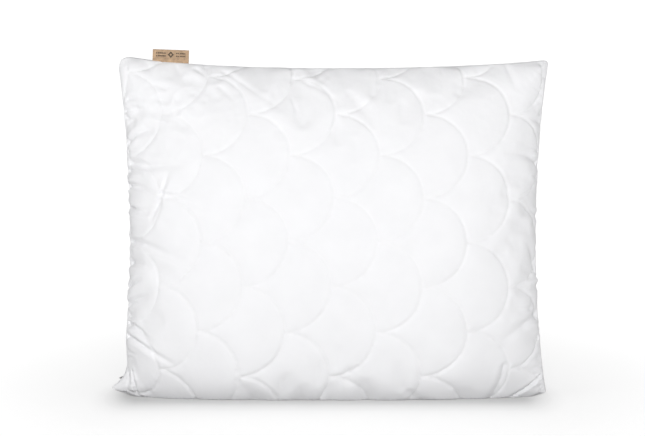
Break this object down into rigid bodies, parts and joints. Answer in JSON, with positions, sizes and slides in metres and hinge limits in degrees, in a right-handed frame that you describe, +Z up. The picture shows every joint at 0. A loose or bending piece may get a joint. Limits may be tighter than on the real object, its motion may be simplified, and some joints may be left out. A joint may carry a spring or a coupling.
{
  "type": "bed pillow",
  "caption": "Fibre-filled bed pillow with a clamshell-quilted white casing and a folded label in the top seam, stood on its long edge.",
  "frame": {"origin": "middle of the pillow's box, on the surface it stands on", "axes": "+X along the long side, to the right seen from the front; +Y from the front panel to the back panel; +Z up"},
  "size_m": [0.59, 0.1544, 0.4703],
  "materials": {
    "cover_fabric": "smooth microfibre",
    "wadding": "lofty fibre",
    "lining": "nonwoven",
    "filling": "loose fibre",
    "thread": "spun polyester",
    "label": "washable paper"
  },
  "bodies": {
    "root": {"front_cover_fabric": "cover_fabric", "back_cover_fabric": "cover_fabric", "front_wadding": "wadding", "back_wadding": "wadding", "front_lining": "lining", "back_lining": "lining", "fibre_filling": "filling", "seam_thread": "thread", "closing_thread": "thread", "side_label": "label", "front_quilting_thread_1": "thread", "front_quilting_thread_2": "thread", "front_quilting_thread_3": "thread", "front_quilting_thread_4": "thread", "front_quilting_thread_5": "thread", "front_quilting_thread_6": "thread", "front_quilting_thread_7": "thread", "front_quilting_thread_8": "thread", "front_quilting_thread_9": "thread", "front_quilting_thread_10": "thread", "back_quilting_thread_1": "thread", "back_quilting_thread_2": "thread", "back_quilting_thread_3": "thread", "back_quilting_thread_4": "thread", "back_quilting_thread_5": "thread", "back_quilting_thread_6": "thread", "back_quilting_thread_7": "thread", "back_quilting_thread_8": "thread", "back_quilting_thread_9": "thread", "back_quilting_thread_10": "thread"}
  },
  "joints": []
}
